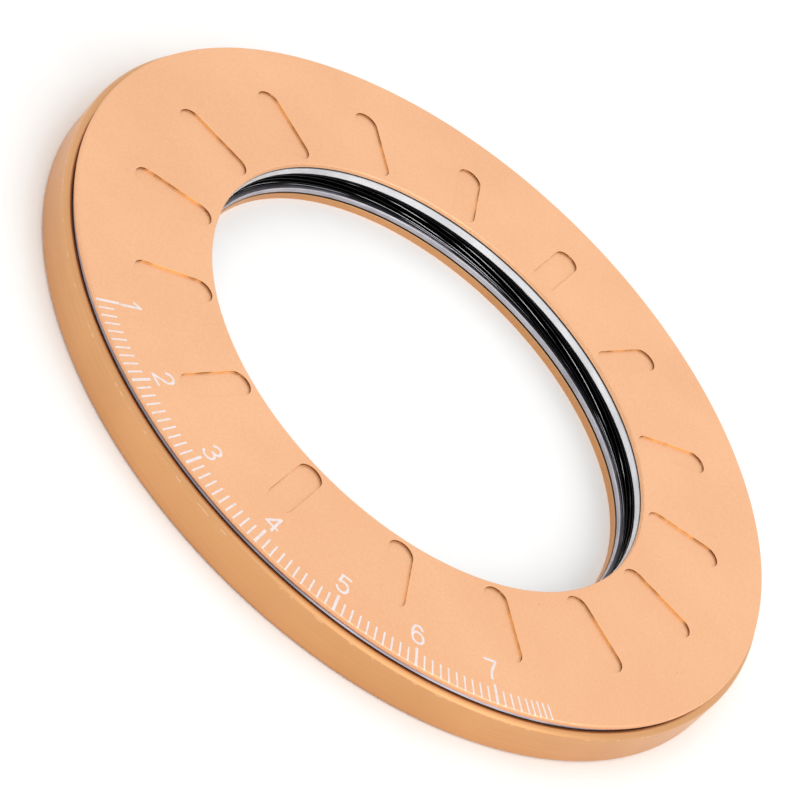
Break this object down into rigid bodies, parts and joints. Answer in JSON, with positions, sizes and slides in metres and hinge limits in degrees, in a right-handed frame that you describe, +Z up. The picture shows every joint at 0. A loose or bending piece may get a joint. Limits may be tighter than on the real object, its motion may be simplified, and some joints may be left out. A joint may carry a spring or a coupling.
{
  "type": "adjustable iris circle-drawing ring",
  "caption": "Flat two-part metal ring with a large round hole; turning the graduated upper ring swings hidden crescent blades across the hole to set a circle's diameter.",
  "frame": {"origin": "middle of the underside, on the axis of the rings, where the tool rests on the paper", "axes": "+Z up along the ring axis, out of the graduated face; +X along the middle line of one cam slot at rest"},
  "size_m": [0.127, 0.127, 0.0077],
  "materials": {
    "housing_metal": "peach-gold anodised aluminium, fine turned wall",
    "cover_metal": "peach-gold anodised aluminium, fine bead-blasted satin",
    "cam_metal": "bare turned aluminium",
    "pivot_metal": "bare aluminium, dull",
    "spring_steel": "bright spring steel",
    "blade_steel": "thin dark rolled steel with bright edges",
    "stud_steel": "turned steel",
    "film": "black adhesive film"
  },
  "bodies": {
    "base": {"housing": "housing_metal", "base_film": "film", "pivot_ring": "pivot_metal", "retaining_ring": "spring_steel"},
    "rotor": {"cam_ring": "cam_metal", "cover_film": "film", "cover_plate": "cover_metal"},
    "leaf_01": {"blade_01": "blade_steel", "pivot_stud_01": "stud_steel", "drive_stud_01": "stud_steel"},
    "leaf_02": {"blade_02": "blade_steel", "pivot_stud_02": "stud_steel", "drive_stud_02": "stud_steel"},
    "leaf_03": {"blade_03": "blade_steel", "pivot_stud_03": "stud_steel", "drive_stud_03": "stud_steel"},
    "leaf_04": {"blade_04": "blade_steel", "pivot_stud_04": "stud_steel", "drive_stud_04": "stud_steel"},
    "leaf_05": {"blade_05": "blade_steel", "pivot_stud_05": "stud_steel", "drive_stud_05": "stud_steel"},
    "leaf_06": {"blade_06": "blade_steel", "pivot_stud_06": "stud_steel", "drive_stud_06": "stud_steel"},
    "leaf_07": {"blade_07": "blade_steel", "pivot_stud_07": "stud_steel", "drive_stud_07": "stud_steel"},
    "leaf_08": {"blade_08": "blade_steel", "pivot_stud_08": "stud_steel", "drive_stud_08": "stud_steel"},
    "leaf_09": {"blade_09": "blade_steel", "pivot_stud_09": "stud_steel", "drive_stud_09": "stud_steel"},
    "leaf_10": {"blade_10": "blade_steel", "pivot_stud_10": "stud_steel", "drive_stud_10": "stud_steel"},
    "leaf_11": {"blade_11": "blade_steel", "pivot_stud_11": "stud_steel", "drive_stud_11": "stud_steel"},
    "leaf_12": {"blade_12": "blade_steel", "pivot_stud_12": "stud_steel", "drive_stud_12": "stud_steel"},
    "leaf_13": {"blade_13": "blade_steel", "pivot_stud_13": "stud_steel", "drive_stud_13": "stud_steel"},
    "leaf_14": {"blade_14": "blade_steel", "pivot_stud_14": "stud_steel", "drive_stud_14": "stud_steel"},
    "leaf_15": {"blade_15": "blade_steel", "pivot_stud_15": "stud_steel", "drive_stud_15": "stud_steel"},
    "leaf_16": {"blade_16": "blade_steel", "pivot_stud_16": "stud_steel", "drive_stud_16": "stud_steel"}
  },
  "joints": [
    {"name": "ring_turn", "type": "hinge", "parent": "base", "child": "rotor", "pos_m": [0, 0, 0.0054], "axis": [0, 0, 1], "range_deg": [0, 85.3]},
    {"name": "leaf_swing_01", "type": "hinge", "parent": "base", "child": "leaf_01", "pos_m": [-0.03294, -0.03211, 0.0018], "axis": [0, 0, 1], "range_deg": [0, 44.37]},
    {"name": "leaf_swing_02", "type": "hinge", "parent": "base", "child": "leaf_02", "pos_m": [-0.01814, -0.04227, 0.0018], "axis": [0, 0, 1], "range_deg": [0, 44.37]},
    {"name": "leaf_swing_03", "type": "hinge", "parent": "base", "child": "leaf_03", "pos_m": [-0.00059, -0.046, 0.0018], "axis": [0, 0, 1], "range_deg": [0, 44.37]},
    {"name": "leaf_swing_04", "type": "hinge", "parent": "base", "child": "leaf_04", "pos_m": [0.01706, -0.04272, 0.0018], "axis": [0, 0, 1], "range_deg": [0, 44.37]},
    {"name": "leaf_swing_05", "type": "hinge", "parent": "base", "child": "leaf_05", "pos_m": [0.03211, -0.03294, 0.0018], "axis": [0, 0, 1], "range_deg": [0, 44.37]},
    {"name": "leaf_swing_06", "type": "hinge", "parent": "base", "child": "leaf_06", "pos_m": [0.04227, -0.01814, 0.0018], "axis": [0, 0, 1], "range_deg": [0, 44.37]},
    {"name": "leaf_swing_07", "type": "hinge", "parent": "base", "child": "leaf_07", "pos_m": [0.046, -0.00059, 0.0018], "axis": [0, 0, 1], "range_deg": [0, 44.37]},
    {"name": "leaf_swing_08", "type": "hinge", "parent": "base", "child": "leaf_08", "pos_m": [0.04272, 0.01706, 0.0018], "axis": [0, 0, 1], "range_deg": [0, 44.37]},
    {"name": "leaf_swing_09", "type": "hinge", "parent": "base", "child": "leaf_09", "pos_m": [0.03294, 0.03211, 0.0018], "axis": [0, 0, 1], "range_deg": [0, 44.37]},
    {"name": "leaf_swing_10", "type": "hinge", "parent": "base", "child": "leaf_10", "pos_m": [0.01814, 0.04227, 0.0018], "axis": [0, 0, 1], "range_deg": [0, 44.37]},
    {"name": "leaf_swing_11", "type": "hinge", "parent": "base", "child": "leaf_11", "pos_m": [0.00059, 0.046, 0.0018], "axis": [0, 0, 1], "range_deg": [0, 44.37]},
    {"name": "leaf_swing_12", "type": "hinge", "parent": "base", "child": "leaf_12", "pos_m": [-0.01706, 0.04272, 0.0018], "axis": [0, 0, 1], "range_deg": [0, 44.37]},
    {"name": "leaf_swing_13", "type": "hinge", "parent": "base", "child": "leaf_13", "pos_m": [-0.03211, 0.03294, 0.0018], "axis": [0, 0, 1], "range_deg": [0, 44.37]},
    {"name": "leaf_swing_14", "type": "hinge", "parent": "base", "child": "leaf_14", "pos_m": [-0.04227, 0.01814, 0.0018], "axis": [0, 0, 1], "range_deg": [0, 44.37]},
    {"name": "leaf_swing_15", "type": "hinge", "parent": "base", "child": "leaf_15", "pos_m": [-0.046, 0.00059, 0.0018], "axis": [0, 0, 1], "range_deg": [0, 44.37]},
    {"name": "leaf_swing_16", "type": "hinge", "parent": "base", "child": "leaf_16", "pos_m": [-0.04272, -0.01706, 0.0018], "axis": [0, 0, 1], "range_deg": [0, 44.37]}
  ],
  "couplings": [
    {"joint": "leaf_swing_01", "follows": "ring_turn", "ratio": 0.51952},
    {"joint": "leaf_swing_02", "follows": "ring_turn", "ratio": 0.51952},
    {"joint": "leaf_swing_03", "follows": "ring_turn", "ratio": 0.51952},
    {"joint": "leaf_swing_04", "follows": "ring_turn", "ratio": 0.51952},
    {"joint": "leaf_swing_05", "follows": "ring_turn", "ratio": 0.51952},
    {"joint": "leaf_swing_06", "follows": "ring_turn", "ratio": 0.51952},
    {"joint": "leaf_swing_07", "follows": "ring_turn", "ratio": 0.51952},
    {"joint": "leaf_swing_08", "follows": "ring_turn", "ratio": 0.51952},
    {"joint": "leaf_swing_09", "follows": "ring_turn", "ratio": 0.51952},
    {"joint": "leaf_swing_10", "follows": "ring_turn", "ratio": 0.51952},
    {"joint": "leaf_swing_11", "follows": "ring_turn", "ratio": 0.51952},
    {"joint": "leaf_swing_12", "follows": "ring_turn", "ratio": 0.51952},
    {"joint": "leaf_swing_13", "follows": "ring_turn", "ratio": 0.51952},
    {"joint": "leaf_swing_14", "follows": "ring_turn", "ratio": 0.51952},
    {"joint": "leaf_swing_15", "follows": "ring_turn", "ratio": 0.51952},
    {"joint": "leaf_swing_16", "follows": "ring_turn", "ratio": 0.51952}
  ]
}
